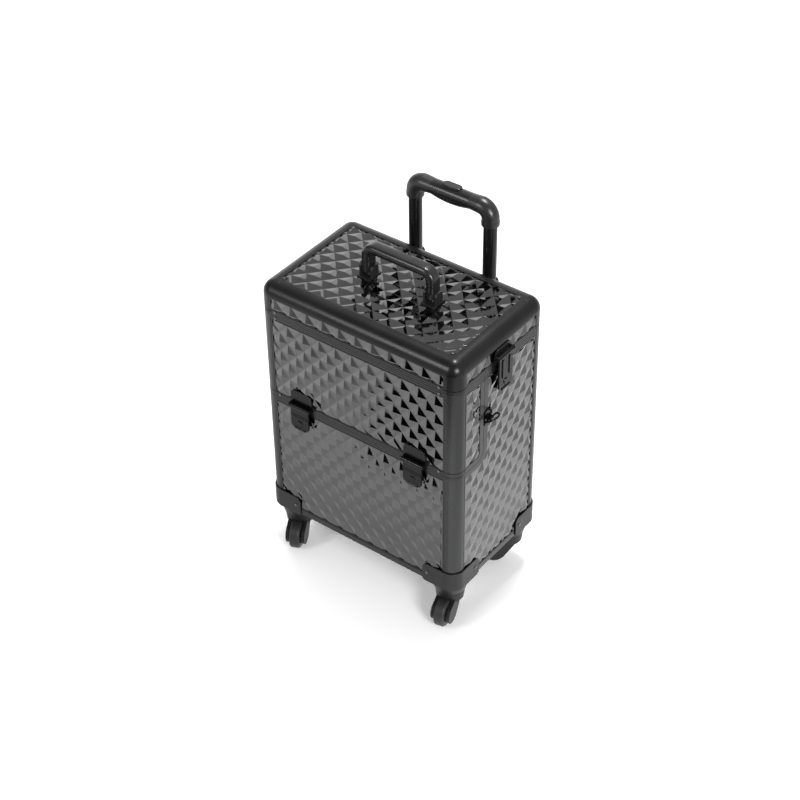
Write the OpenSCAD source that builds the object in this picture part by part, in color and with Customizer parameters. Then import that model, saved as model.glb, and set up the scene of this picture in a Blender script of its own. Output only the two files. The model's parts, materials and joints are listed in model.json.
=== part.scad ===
// Rolling makeup case: a hard case on four swivel casters, with a hinged lid, a front
// section that slides out on runners, two trays, a carry handle and a telescopic trolley.
// +Z is up, the front faces -Y, and z = 0 is the floor under the wheels.

/* [Case] */
// Width of the case over its side faces
case_w = 360; // [320:1:420]
// Depth of the case over its front and rear faces
case_d = 220; // [200:1:260]
// Height of the case from its underside to the top of the lid
case_h = 429; // [410:1:480]
// Radius of the upright corners and of the lid's rounded top edge
edge_r = 20; // [16:0.5:22]
// Thickness of the wall panels
panel_t = 6; // [4:0.5:7]
// How far the panels lie inside the frame's outer faces
panel_sink = 1.5; // [1:0.1:2]

/* [Frame] */
// Wall thickness of the corner posts and of the lid's edge rails
frame_t = 2.5; // [2:0.1:3]
// Width of a corner post's face on each side of the corner
post_face = 24; // [23:0.5:30]
// Height of the bottom frame
bottom_h = 13; // [11:0.5:18]
// Height of each seam rail
rail_h = 10; // [8:0.5:12]
// Depth of the seam rails behind the outer faces
rail_d = 8; // [7:0.5:9]
// Height of the thin lip that carries a seam rail round a corner post
lip_h = 2.5; // [2:0.1:3]
// Gap between the two rails of a seam
seam_gap = 0.5; // [0.4:0.1:1]
// Height of the lid above its seam
lid_h = 50; // [46:1:56]
// Height of the front section, from the seam under it to the lid's seam
section_h = 155; // [145:1:165]
// Depth of the front section's cheeks
cheek_d = 68; // [60:1:80]
// Radius of the lower rear corner of each cheek
seam_r = 16; // [14:0.5:20]
// Thickness of the bottom board
board_t = 6; // [4:0.5:8]
// Thickness of the ledge under the bottom board
ledge_t = 2; // [1.5:0.5:3]
// Width of the ledge under the bottom board
ledge_w = 6; // [4:0.5:8]
// Reach of the lid's corner caps along each edge
cap_reach = 28; // [26:0.5:34]

/* [Latches] */
// Distance of each front latch from the middle of the case
latch_x = 106; // [90:1:120]
// Width of a latch
latch_w = 40; // [34:1:44]
// Thickness of the latch plates and catches
latch_t = 1.6; // [1.2:0.1:2]
// Distance of a lever's pin from the face that the latch lies on
pivot_out = 6; // [5.8:0.1:7]
// Radius of a lever's pin
latch_pin_r = 1.5; // [1.2:0.1:1.8]
// Radius of a lever's hub
hub_r = 3.6; // [3.2:0.1:3.7]
// Thickness of a lever
lever_t = 3; // [2.5:0.1:3.4]
// Length of a front lever from its pin to its lip
front_lever_len = 42; // [36:1:50]
// Height of a front latch's plate above its pin
front_plate_len = 26; // [20:1:30]
// Height of a front lever's pin above the seam
front_pin_up = 4; // [3.5:0.5:6]
// Length of the side lever from its pin to its lip
side_lever_len = 60; // [54:1:66]
// Height of the side latch's plate above its pin
side_plate_len = 13; // [12:0.5:14]
// Height of the side lever's pin above the lid's seam
side_pin_up = 14; // [13:0.5:15]

/* [Hinges and rings] */
// Length of each lid hinge
hinge_len = 46; // [40:1:50]
// Distance of the lid hinges from the upright rail and the post beside them
hinge_margin = 5; // [3:0.5:8]
// Radius of a hinge knuckle
knuckle_r = 3; // [2.6:0.1:3.4]
// Radius of a hinge pin
hinge_pin_r = 1.5; // [1.2:0.1:1.7]
// Height of each hinge leaf
leaf_h = 22; // [16:0.5:26]
// Height of the lid's seam above the strap rings
ring_drop = 83; // [78:1:95]
// Width of a strap ring's plate, front to back
ring_plate_w = 18; // [14:1:22]
// Height of a strap ring's plate
ring_plate_h = 30; // [22:1:34]
// Height of a strap ring's lug
ring_lug_h = 6.4; // [5.6:0.2:8]
// Inner radius of a strap ring
ring_r = 12; // [10:0.5:13]
// Radius of a strap ring's wire
wire_r = 1.6; // [1.3:0.1:1.8]
// Angle of the strap rings above level, as they rest
ring_tilt = 30; // [0:5:45]

/* [Carry handle] */
// Distance of each handle leg from the middle of the lid
grip_leg_x = 58; // [50:1:68]
// Height of the handle above the lid
handle_h = 59; // [54:1:70]
// Width of the handle's legs
handle_w = 15.5; // [14:0.5:20]
// Depth of the handle, front to back
handle_d = 22; // [16:0.5:23]
// Radius of the handle's long edges
handle_edge = 3.5; // [2:0.5:5]
// Bend radius at the middle of the handle's section
handle_bend = 14; // [11:0.5:18]
// Radius of the handle's pins
handle_pin_r = 3; // [2.5:0.1:3.5]
// Height of the handle's pins above the bracket's base
handle_pin_z = 15; // [15:0.5:17]
// Depth of the handle's brackets, front to back
bracket_d = 28; // [24:1:34]
// Width of the cheeks of the handle's brackets
bracket_cheek = 16; // [12:1:20]

/* [Trolley] */
// Distance of each trolley tube from the middle of the case
tube_x = 68; // [60:1:75]
// Distance of the tubes' middle behind the rear face
tube_back = 18; // [17:0.5:22]
// Outer radius of the inner tubes
inner_tube_r = 10.6; // [9:0.1:11]
// Wall thickness of every tube
tube_wall = 1.3; // [1:0.1:1.6]
// Gap between one tube and the next
tube_gap = 0.3; // [0.3:0.05:0.5]
// Height of the outer tubes' lower end above the underside
tube_low = 24; // [20:1:30]
// Height of the outer tubes' upper end above the lid's seam
tube_rise = 13; // [8:1:17]
// Height of the grip's middle above the lid, as photographed
grip_up = 95.5; // [90:0.5:110]
// Radius of the grip at the ends of its middle shell
grip_r = 12.3; // [12:0.1:13]
// Radius of the grip's elbows
elbow_r = 13.4; // [13.1:0.1:14.5]
// Bend radius at the middle of the grip's elbows
elbow_bend = 17; // [15.5:0.5:20]
// Length of the straight ferrule below each elbow
ferrule_len = 10; // [8:0.5:14]
// Length of the middle shell of the grip
grip_shell_len = 70; // [60:1:74]
// Sag of the middle shell's underside
belly = 5; // [3:0.5:6.5]
// Length of the push button
button_len = 32; // [26:1:36]
// Width of the push button
button_w = 13; // [10:0.5:15]
// Travel of the push button
button_travel = 3; // [2:0.5:3.5]

/* [Casters] */
// Height of the case's underside above the floor
foot_h = 82; // [80:1:88]
// Distance of each caster's swivel axis from the two faces beside it
swivel_in = 30.5; // [29:0.5:33]
// Radius of the wheels
wheel_r = 24; // [21:0.5:25]
// Width of the wheels
wheel_w = 17; // [14:0.5:20]
// Distance of the axle from the swivel axis
trail = 24; // [20:0.5:27]
// Radius of the axles
axle_r = 3.5; // [3:0.1:4]
// Thickness of the fork's ears
ear_t = 6; // [4:0.5:7]
// Radius of the fork's ears round the axle
ear_r = 16.5; // [13:0.5:18]
// Radius of the fork's crown
crown_r = 24; // [22:0.5:24.5]
// Height of the fork's crown
crown_h = 20; // [17:0.5:21]
// Height of the guard's cup above the fork
neck_h = 21; // [19:0.5:22]
// Radius of the guard's cup at its lower end
neck_r = 25; // [24.5:0.5:27]
// Height of the corner guards above the underside
guard_h = 33; // [28:1:38]
// Reach of the corner guards along each face
guard_reach = 60; // [60:1:66]
// Radius of the upper end corners of the corner guards
guard_end_r = 10; // [6:0.5:14]
// Thickness of the corner guards
guard_t = 2.2; // [1.8:0.1:3]
// Turn of the front left caster from straight ahead
yaw_fl = 25; // [-60:1:60]
// Turn of the front right caster from straight ahead
yaw_fr = 12; // [-60:1:60]
// Turn of the rear left caster from straight ahead
yaw_rl = 20; // [-60:1:60]
// Turn of the rear right caster from straight ahead
yaw_rr = -40; // [-60:1:60]

/* [Trays] */
// Wall thickness of the trays
tray_t = 3; // [2:0.5:4]
// Room between the lower tray and the rear rails
tray_gap = 8; // [6:1:24]
// Height of the lower tray
tray_h = 62; // [50:1:66]
// Depth of the upper tray, front to back
upper_tray_d = 118; // [100:1:125]
// Height of the upper tray
upper_tray_h = 52; // [40:1:56]
// Height of the moving runners
runner_h = 12; // [10:0.5:14]
// Gap between a moving piece inside the case and what guides it
slide_gap = 0.4; // [0.3:0.05:0.6]

/* [Hidden] */
$fn = 64;

satin_black = [0.17, 0.17, 0.18];
gloss_black = [0.28, 0.28, 0.29];
plastic_black = [0.1, 0.1, 0.1];
tray_black = [0.15, 0.15, 0.16];
rivet_grey = [0.35, 0.35, 0.36];

half_w = case_w / 2;
half_d = case_d / 2;
lid_z = case_h - lid_h;
mid_z = lid_z - section_h;
ring_z = lid_z - ring_drop;
tube_top = lid_z + tube_rise;
grip_z = case_h + grip_up;
tray_d = case_d - 2 * rail_d - tray_gap;
span_x = case_w - 2 * post_face;
span_y = case_d - 2 * post_face;
seam_y = cheek_d - half_d;
pin_clear = 0.06;
fit = 0.1;
rivet_r = 2.4;
rivet_h = 1;

tube_y = half_d + tube_back;
middle_tube_r = inner_tube_r + tube_gap + tube_wall;
outer_tube_r = middle_tube_r + tube_gap + tube_wall;
clamp_r = outer_tube_r + 2.5;
collar_r = outer_tube_r + 0.6;
collar_h = 5;

swivel_x = half_w - swivel_in;
swivel_y = half_d - swivel_in;
axle_z = wheel_r - foot_h;
corner_yaws = [["fl", -1, -1, yaw_fl], ["fr", 1, -1, yaw_fr], ["rl", -1, 1, yaw_rl],
    ["rr", 1, 1, yaw_rr]];

// Half-way between the foremost wheel and the rearmost clamp, so that the model's box
// is centred on the origin
tyre_r = 4;
function front_reach(yaw) = swivel_y + (trail + wheel_r - tyre_r) * cos(yaw)
    + (wheel_w / 2 - tyre_r) * abs(sin(yaw)) + tyre_r;
shift_y = (max(front_reach(yaw_fl), front_reach(yaw_fr)) - tube_y - clamp_r) / 2;

// Moves the case's own frame, with its underside at z = 0, to the model's frame
module place() {
    translate([0, shift_y, foot_h]) children();
}

// Corner at +x +y, with its outer corner point at the origin
module corner_2d(reach, wall, r = edge_r) {
    translate([-r, -r]) intersection() {
        difference() {
            circle(r = r);
            circle(r = r - wall);
        }
        square(r);
    }
    translate([-reach, -wall]) square([reach - r, wall]);
    translate([-wall, -reach]) square([wall, reach - r]);
}

module rounded_2d(w, d, r) {
    square([w - 2 * r, d], center = true);
    square([w, d - 2 * r], center = true);
    for (x = [-1, 1], y = [-1, 1])
        translate([x * (w / 2 - r), y * (d / 2 - r)]) circle(r = r);
}

module at_corner(sx, sy) {
    translate([sx * half_w, sy * half_d, 0])
        mirror([sx < 0 ? 1 : 0, 0, 0]) mirror([0, sy < 0 ? 1 : 0, 0]) children();
}

// Bar along X at the front (sy = -1) or the rear (sy = 1)
module cross_bar(sy, z, h, depth, sink = 0) {
    translate([-span_x / 2, sy < 0 ? sink - half_d : half_d - sink - depth, z])
        cube([span_x, depth, h]);
}

// Bar along Y at the left (sx = -1) or the right (sx = 1)
module side_bar(sx, y0, y1, z, h, depth, sink = 0) {
    translate([sx < 0 ? sink - half_w : half_w - sink - depth, y0, z])
        cube([depth, y1 - y0, h]);
}

// Turns an outline in Y and Z into a slab at the left or the right
module side_slab(sx, depth, sink) {
    translate([sx < 0 ? sink - half_w : half_w - sink - depth, 0, 0])
        rotate([90, 0, 90]) linear_extrude(depth) children();
}

module corner_lips(sy, z, h) {
    for (sx = [-1, 1])
        at_corner(sx, sy) translate([0, 0, z]) linear_extrude(h) corner_2d(post_face, rail_d);
}

// Side view of the front section, drawn in by inset on its lower and rear edges
module cheek_2d(inset) {
    r = seam_r - inset;
    y1 = seam_y - inset;
    z1 = mid_z + inset;
    translate([-half_d, z1 + r]) square([y1 + half_d, lid_z - z1 - r]);
    translate([-half_d, z1]) square([y1 - r + half_d, r]);
    translate([y1 - r, z1 + r]) circle(r = r);
}

// Side of the case between the posts, from the bottom frame up to the top rails
module side_field_2d(z) {
    translate([-span_y / 2, z]) square([span_y, lid_z - rail_h - z]);
}

module rod_x(r, length) {
    rotate([0, 90, 0]) cylinder(r = r, h = length, center = true);
}

module rod_y(r, length) {
    rotate([90, 0, 0]) cylinder(r = r, h = length, center = true);
}

// Lower case

module bottom_board() color(tray_black)
    translate([0, 0, ledge_t]) linear_extrude(board_t)
        rounded_2d(case_w - 2 * (rail_d + fit), case_d - 2 * (rail_d + fit),
            edge_r - rail_d - fit);

module bottom_frame() color(satin_black) difference() {
    linear_extrude(bottom_h) rounded_2d(case_w, case_d, edge_r);
    translate([0, 0, ledge_t]) linear_extrude(bottom_h)
        rounded_2d(case_w - 2 * rail_d, case_d - 2 * rail_d, edge_r - rail_d);
    translate([0, 0, -1]) linear_extrude(bottom_h)
        rounded_2d(case_w - 2 * (rail_d + ledge_w), case_d - 2 * (rail_d + ledge_w),
            edge_r - rail_d);
}

module front_lower_panel() color(gloss_black)
    cross_bar(-1, bottom_h, mid_z - rail_h - bottom_h, panel_t, panel_sink);

module rear_panel() color(gloss_black)
    cross_bar(1, bottom_h, lid_z - rail_h - bottom_h, panel_t, panel_sink);

module side_panel(sx) color(gloss_black)
    side_slab(sx, panel_t, panel_sink) difference() {
        side_field_2d(bottom_h);
        cheek_2d(-rail_h);
    }

module posts(sy, z0, z1) color(satin_black)
    for (sx = [-1, 1])
        at_corner(sx, sy) translate([0, 0, z0]) linear_extrude(z1 - z0)
            corner_2d(post_face, frame_t);

module body_rail() color(satin_black) {
    cross_bar(-1, mid_z - rail_h, rail_h, rail_d);
    corner_lips(-1, mid_z - lip_h, lip_h);
    for (sx = [-1, 1])
        side_slab(sx, rail_d, 0) intersection() {
            difference() {
                cheek_2d(-rail_h);
                cheek_2d(0);
            }
            side_field_2d(0);
        }
}

module body_top_rail() color(satin_black) {
    cross_bar(1, lid_z - rail_h, rail_h, rail_d);
    corner_lips(1, lid_z - lip_h, lip_h);
    for (sx = [-1, 1])
        side_bar(sx, seam_y, span_y / 2, lid_z - rail_h, rail_h, rail_d);
}

// Front section

module section_panel() color(gloss_black)
    cross_bar(-1, mid_z + rail_h, lid_z - mid_z - 2 * rail_h, panel_t, panel_sink);

module cheek(sx) color(gloss_black)
    side_slab(sx, panel_t, panel_sink) intersection() {
        cheek_2d(rail_h);
        side_field_2d(0);
    }

module section_rail() color(satin_black) {
    cross_bar(-1, mid_z + seam_gap, rail_h - seam_gap, rail_d);
    corner_lips(-1, mid_z + seam_gap, lip_h - seam_gap);
    for (sx = [-1, 1])
        side_slab(sx, rail_d, 0) intersection() {
            difference() {
                cheek_2d(seam_gap);
                cheek_2d(rail_h);
            }
            side_field_2d(0);
        }
}

module section_top_rail() color(satin_black) {
    cross_bar(-1, lid_z - rail_h, rail_h, rail_d);
    corner_lips(-1, lid_z - lip_h, lip_h);
    for (sx = [-1, 1])
        side_bar(sx, -span_y / 2, seam_y - seam_gap, lid_z - rail_h, rail_h, rail_d);
}

// Lid

band_top = case_h - edge_r - 2;

// Section of the lid's edge rail: x runs inwards from the outer face, y is the height
module edge_rail_2d() {
    translate([edge_r, case_h - edge_r]) intersection() {
        difference() {
            circle(r = edge_r);
            circle(r = edge_r - frame_t);
        }
        translate([-edge_r, 0]) square(edge_r);
    }
    translate([edge_r, case_h - frame_t]) square([post_face - edge_r, frame_t]);
    translate([0, band_top]) square([frame_t, case_h - edge_r - band_top]);
}

// Length of edge rail along X, with its outer face at y = 0 and the case on the +y side
module edge_rail(x0, length) {
    translate([x0, 0, 0]) rotate([90, 0, 90]) linear_extrude(length) edge_rail_2d();
}

module lid_frame() color(satin_black)
    for (s = [0, 1]) {
        mirror([0, s, 0]) translate([0, -half_d, 0])
            edge_rail(cap_reach - half_w, case_w - 2 * cap_reach);
        mirror([s, 0, 0]) mirror([1, -1, 0]) translate([0, -half_w, 0])
            edge_rail(cap_reach - half_d, case_d - 2 * cap_reach);
    }

// Corner cap at +x +y, with its outer corner point at the origin
module lid_corner() {
    translate([0, 0, lid_z + lip_h])
        linear_extrude(case_h - edge_r - lid_z - lip_h) corner_2d(post_face, frame_t);
    translate([-edge_r, -edge_r, case_h - edge_r]) intersection() {
        difference() {
            sphere(r = edge_r);
            sphere(r = edge_r - frame_t);
        }
        cube(edge_r);
    }
    mirror([0, 1, 0]) edge_rail(-cap_reach, cap_reach - edge_r);
    mirror([1, -1, 0]) mirror([0, 1, 0]) edge_rail(-cap_reach, cap_reach - edge_r);
    translate([-post_face, -post_face, case_h - frame_t])
        cube([post_face - edge_r, post_face - edge_r, frame_t]);
    translate([-cap_reach - 4, -cap_reach - 4, case_h - panel_sink])
        cube([cap_reach + 4 - post_face, cap_reach + 4 - post_face, panel_sink]);
}

module lid_corners() color(satin_black)
    for (sx = [-1, 1], sy = [-1, 1]) at_corner(sx, sy) lid_corner();

module lid_panel() color(gloss_black)
    translate([-span_x / 2, -span_y / 2, case_h - panel_sink - panel_t])
        cube([span_x, span_y, panel_t]);

module lid_bands() color(gloss_black)
    for (s = [-1, 1]) {
        cross_bar(s, lid_z + rail_h, band_top - lid_z - rail_h, panel_t, panel_sink);
        side_bar(s, -span_y / 2, span_y / 2, lid_z + rail_h, band_top - lid_z - rail_h,
            panel_t, panel_sink);
    }

module lid_rail() color(satin_black)
    for (s = [-1, 1]) {
        cross_bar(s, lid_z + seam_gap, rail_h - seam_gap, rail_d);
        side_bar(s, -span_y / 2, span_y / 2, lid_z + seam_gap, rail_h - seam_gap, rail_d);
        corner_lips(s, lid_z + seam_gap, lip_h - seam_gap);
    }

// Lid hinges, on the left face

hinge_out = knuckle_r + 0.4;
hinge_axis_z = lid_z + seam_gap / 2;
leaf_t = 1.4;
knuckle_gap = 0.3;

hinge_ys = [seam_y + rail_h + hinge_margin + hinge_len / 2,
    span_y / 2 - hinge_margin - hinge_len / 2];

module at_hinges() {
    for (y = hinge_ys) translate([-half_w - hinge_out, y, hinge_axis_z]) children();
}

// Knuckle from y0 to y1 along one hinge, with the web that joins it to its leaf
module knuckle(y0, y1, up, clear) {
    translate([0, y1, 0]) rotate([90, 0, 0]) linear_extrude(y1 - y0) difference() {
        union() {
            rotate(120) circle(r = knuckle_r);
            translate([hinge_out - leaf_t, up > 0 ? 0 : -knuckle_r]) square([leaf_t, knuckle_r]);
        }
        circle(r = hinge_pin_r + clear);
    }
}

module leaf(up) {
    translate([hinge_out - leaf_t, -hinge_len / 2, up > 0 ? knuckle_r : -leaf_h])
        cube([leaf_t, hinge_len, leaf_h - knuckle_r]);
}

module case_hinge_leaves() color(satin_black)
    at_hinges() {
        leaf(-1);
        knuckle(-hinge_len / 6 + knuckle_gap, hinge_len / 6 - knuckle_gap, -1, pin_clear);
    }

module lid_hinge_leaves() color(satin_black)
    at_hinges() {
        leaf(1);
        for (m = [0, 1]) mirror([0, m, 0]) knuckle(hinge_len / 6, hinge_len / 2, 1, 0);
    }

module hinge_pins() color(rivet_grey)
    at_hinges() rod_y(hinge_pin_r, hinge_len + 2);

// Latches. In a latch's own frame the face it lies on is y = 0, +y points out of the
// case, and the lever's pin lies along X at z = 0.

cheek_t = 3;
lever_w = latch_w - 2 * cheek_t - 0.6;
lever_in = pivot_out - 1.4;
lever_end_r = 7;
rib_w = 3;
rib_low = 22;
rib_top = 6;
nose_out = lever_in - 0.6;

module slab_xz(t) {
    translate([0, t, 0]) rotate([90, 0, 0]) linear_extrude(t) children();
}

module latch_plate(low, high) {
    slab_xz(latch_t) {
        translate([-latch_w / 2, -low]) square([latch_w, low + high - 8]);
        translate([0, high - 9]) rounded_2d(latch_w, 18, 8);
    }
    for (s = [-1, 1]) translate([s * (latch_w - cheek_t) / 2, 0, 0]) {
        translate([0, pivot_out, 0]) rod_x(hub_r, cheek_t);
        translate([-cheek_t / 2, 0, -hub_r]) cube([cheek_t, pivot_out, 2 * hub_r]);
    }
    translate([0, pivot_out, 0]) rod_x(latch_pin_r, latch_w);
}

module lever_2d(length) {
    translate([-lever_w / 2, lever_end_r + 1 - length])
        square([lever_w, length - 1 - lever_end_r]);
    translate([0, lever_w / 2 + 1 - length]) rounded_2d(lever_w, lever_w, lever_end_r);
}

module latch_lever(length) {
    difference() {
        union() {
            translate([0, pivot_out, 0]) rod_x(hub_r, lever_w);
            translate([0, lever_in, 0]) slab_xz(lever_t) lever_2d(length);
            translate([0, lever_in + lever_t - 1, 2 - length]) rod_x(2.6, lever_w - 2 * lever_end_r);
            translate([0, lever_in + lever_t, 12 - length]) rotate([-90, 0, 0])
                cylinder(r1 = 6, r2 = 5, h = 1.4);
        }
        translate([0, pivot_out, 0]) rod_x(latch_pin_r + pin_clear, lever_w + 2);
    }
}

// Two raised ribs down the side lever
module lever_ribs(length) {
    for (s = [-1, 1])
        translate([s * lever_w / 4 - rib_w / 2, lever_in + lever_t - 0.5, rib_low - length])
            cube([rib_w, 2, length - rib_low - rib_top]);
}

module latch_catch(z0, z1) {
    translate([-11, 0, z0]) cube([22, latch_t, z1 - z0]);
    translate([-8, 0, (z0 + z1) / 2 - 2.5]) cube([16, nose_out, 5]);
}

module at_front_latch(sx) {
    translate([sx * latch_x, -half_d, mid_z + front_pin_up]) mirror([0, 1, 0]) children();
}

module at_side_latch() {
    translate([half_w, 0, lid_z + side_pin_up]) rotate([0, 0, -90]) children();
}

module front_latch_plates() color(plastic_black)
    for (sx = [-1, 1])
        at_front_latch(sx) latch_plate(front_pin_up - 1, front_plate_len);

module front_catches() color(plastic_black)
    for (sx = [-1, 1])
        at_front_latch(sx)
            latch_catch(6 - front_lever_len, -front_pin_up - 3);

module front_lever(sx) color(plastic_black)
    at_front_latch(sx) latch_lever(front_lever_len);

module side_latch_plate() color(plastic_black)
    at_side_latch() latch_plate(side_pin_up - 2, side_plate_len);

module side_catch() color(plastic_black)
    at_side_latch() latch_catch(16 - side_lever_len, -side_pin_up - 1);

module side_lever() color(plastic_black) at_side_latch() {
    latch_lever(side_lever_len);
    lever_ribs(side_lever_len);
}

// Strap rings

ring_out = 5;
lug_w = 8;

module at_ring() {
    translate([half_w + ring_out, seam_y + 0.5 + ring_plate_w / 2, ring_z]) children();
}

module ring_plates() color(plastic_black)
    for (m = [0, 1]) mirror([m, 0, 0]) at_ring() {
        translate([-ring_out, 0, 0]) rotate([90, 0, 90]) linear_extrude(latch_t)
            rounded_2d(ring_plate_w, ring_plate_h, ring_plate_w / 3);
        difference() {
            union() {
                rod_y(ring_lug_h / 2, lug_w);
                translate([-ring_out, -lug_w / 2, -ring_lug_h / 2])
                    cube([ring_out, lug_w, ring_lug_h]);
            }
            rod_y(wire_r + pin_clear, lug_w + 2);
        }
    }

module strap_ring(m) color(rivet_grey)
    mirror([m, 0, 0]) at_ring() {
        rod_y(wire_r, 2 * (ring_r + wire_r));
        rotate([0, -ring_tilt, 0]) rotate([0, 0, -90])
            rotate_extrude(angle = 180) translate([ring_r + wire_r, 0]) circle(r = wire_r);
        for (s = [-1, 1]) translate([0, s * (ring_r + wire_r), 0]) sphere(r = wire_r);
    }

// Carry handle

leg_gap = 0.3;
bracket_wall = 4;
bracket_w = handle_w + 2 * (leg_gap + bracket_wall);
bracket_base = 3;
lid_top = case_h - panel_sink;
handle_axis_z = lid_top + handle_pin_z;
handle_top_z = case_h + handle_h;

module handle_brackets() color(plastic_black)
    for (sx = [-1, 1]) translate([sx * grip_leg_x, 0, lid_top]) {
        translate([-bracket_w / 2, -bracket_d / 2, 0])
            cube([bracket_w, bracket_d, bracket_base]);
        for (s = [-1, 1]) translate([s * (bracket_w - bracket_wall) / 2, 0, 0]) {
            translate([0, 0, handle_pin_z]) rod_x(bracket_cheek / 2, bracket_wall);
            translate([-bracket_wall / 2, -bracket_cheek / 2, 0])
                cube([bracket_wall, bracket_cheek, handle_pin_z]);
        }
        translate([0, 0, handle_pin_z]) rod_x(handle_pin_r, bracket_w);
    }

// The handle's section, x across its width and y front to back
module handle_2d() {
    rounded_2d(handle_w, handle_d, handle_edge);
}

module carry_handle() color(plastic_black) {
    bar_z = handle_top_z - handle_w / 2;
    for (m = [0, 1]) mirror([m, 0, 0]) translate([grip_leg_x, 0, 0]) difference() {
        union() {
            translate([0, 0, handle_axis_z]) {
                linear_extrude(bar_z - handle_bend - handle_axis_z) handle_2d();
                rod_x(handle_d / 2, handle_w);
            }
            translate([-handle_bend, 0, bar_z - handle_bend]) rotate([90, 0, 0])
                rotate_extrude(angle = 90) translate([handle_bend, 0]) handle_2d();
        }
        translate([0, 0, handle_axis_z]) rod_x(handle_pin_r + pin_clear, handle_w + 2);
    }
    translate([handle_bend - grip_leg_x, 0, bar_z]) rotate([0, 90, 0])
        linear_extrude(2 * (grip_leg_x - handle_bend)) handle_2d();
}

// Trolley

module tube(r, z0, z1) {
    translate([0, 0, z0]) difference() {
        cylinder(r = r, h = z1 - z0);
        translate([0, 0, -1]) cylinder(r = r - tube_wall, h = z1 - z0 + 2);
    }
}

module at_tubes() {
    for (sx = [-1, 1]) translate([sx * tube_x, tube_y, 0]) children();
}

module outer_tubes() color(satin_black)
    at_tubes() {
        tube(outer_tube_r, tube_low, tube_top);
        translate([0, 0, tube_low - 2]) cylinder(r = outer_tube_r, h = 2);
    }

bracket_h = 30;

module tube_bracket(z) {
    width = 2 * (tube_x + clamp_r);
    difference() {
        translate([0, 0, z]) {
            translate([-width / 2, half_d, 0]) cube([width, 3, bracket_h]);
            at_tubes() {
                cylinder(r = clamp_r, h = bracket_h);
                translate([-clamp_r, half_d - tube_y, 0])
                    cube([2 * clamp_r, tube_back, bracket_h]);
            }
        }
        at_tubes() translate([0, 0, z - 1]) cylinder(r = outer_tube_r + fit, h = bracket_h + 2);
    }
}

module tube_brackets() color(plastic_black) {
    tube_bracket(tube_low + 4);
    tube_bracket(lid_z - bracket_h - 4);
}

module middle_tubes() color(satin_black)
    at_tubes() {
        tube(middle_tube_r, tube_low + 20, tube_top + tube_gap + collar_h);
        translate([0, 0, tube_top + tube_gap]) difference() {
            cylinder(r = collar_r, h = collar_h);
            translate([0, 0, -1]) cylinder(r = middle_tube_r - tube_wall, h = collar_h + 2);
        }
    }

ferrule_z = grip_z - elbow_bend - ferrule_len;
socket_depth = 10;
collar_len = 7;
grip_drop = ferrule_z - tube_top - tube_gap - collar_h - 1;

module inner_tubes() color(satin_black)
    at_tubes() tube(inner_tube_r, tube_low + 4 + grip_drop, ferrule_z + socket_depth);

module grip_elbows() color(plastic_black)
    for (m = [0, 1]) mirror([m, 0, 0]) translate([tube_x, tube_y, 0]) difference() {
        union() {
            translate([0, 0, ferrule_z]) cylinder(r = elbow_r, h = ferrule_len);
            translate([0, 0, ferrule_z]) cylinder(r = elbow_r + 0.5, h = collar_len);
            translate([-elbow_bend, 0, grip_z - elbow_bend]) rotate([90, 0, 0])
                rotate_extrude(angle = 90) translate([elbow_bend, 0]) circle(r = elbow_r);
            translate([grip_shell_len / 2 - tube_x, 0, grip_z]) rotate([0, 90, 0])
                cylinder(r1 = grip_r, r2 = elbow_r, h = tube_x - elbow_bend - grip_shell_len / 2);
        }
        translate([0, 0, ferrule_z - 1]) cylinder(r = inner_tube_r + fit, h = socket_depth + 1);
    }

button_up = 2.5;
belly_r = grip_r - 0.4;
belly_bend = (pow(grip_shell_len / 2, 2) + belly * belly) / (2 * belly);
pocket_z = grip_r - 6;

module button_2d(grow) {
    w = button_w + 2 * grow;
    square([button_len - button_w, w], center = true);
    for (s = [-1, 1]) translate([s * (button_len - button_w) / 2, 0]) circle(r = w / 2);
}

module grip_shell() color(plastic_black)
    translate([0, tube_y, grip_z]) difference() {
        union() {
            rod_x(grip_r, grip_shell_len);
            intersection() {
                translate([0, 0, belly_bend - belly]) rotate([90, 0, 0])
                    rotate([0, 0, -120]) rotate_extrude(angle = 60)
                        translate([belly_bend, 0]) circle(r = belly_r);
                cube([grip_shell_len, 4 * grip_r, 4 * grip_r], center = true);
            }
        }
        translate([0, 0, pocket_z - button_travel - 1]) linear_extrude(grip_r) button_2d(0.3);
    }

module grip_button() color(plastic_black)
    translate([0, tube_y, grip_z + pocket_z]) linear_extrude(grip_r - pocket_z + button_up)
        button_2d(0);

// Casters

stem_r = 5;
stem_h = neck_h - 2;
neck_gap = 0.3;
ear_gap = 1.2;
wheel_gap = 1.5;
crown_taper = 2.5;
crown_low = -neck_h - neck_gap - crown_h;

// Rounds the upper end corner of the guard's arm along X
module guard_end() {
    translate([-guard_reach - 1, -1, guard_h - guard_end_r]) difference() {
        cube([guard_end_r + 1, guard_t + 2, guard_end_r + 1]);
        translate([guard_end_r + 1, -1, 0]) rotate([-90, 0, 0])
            cylinder(r = guard_end_r, h = guard_t + 4);
    }
}

module corner_guard() {
    difference() {
        union() {
            difference() {
                translate([guard_t, guard_t, 0]) linear_extrude(guard_h)
                    corner_2d(guard_reach + guard_t, guard_t, edge_r + guard_t);
                guard_end();
                mirror([1, -1, 0]) guard_end();
            }
            translate([guard_t - guard_reach, guard_t - guard_reach, -2])
                intersection() {
                    cube([guard_reach, guard_reach, 2]);
                    linear_extrude(2) translate([0, 0]) rounded_2d(2 * guard_reach,
                        2 * guard_reach, edge_r + guard_t);
                }
            translate([-swivel_in, -swivel_in, -neck_h])
                cylinder(r1 = neck_r, r2 = swivel_in - 1, h = neck_h - 2);
        }
        translate([-swivel_in, -swivel_in, -neck_h - 1])
            cylinder(r = stem_r + pin_clear, h = stem_h + 1.5);
    }
}

module corner_guards() color(plastic_black)
    for (sx = [-1, 1], sy = [-1, 1]) at_corner(sx, sy) corner_guard();

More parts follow.
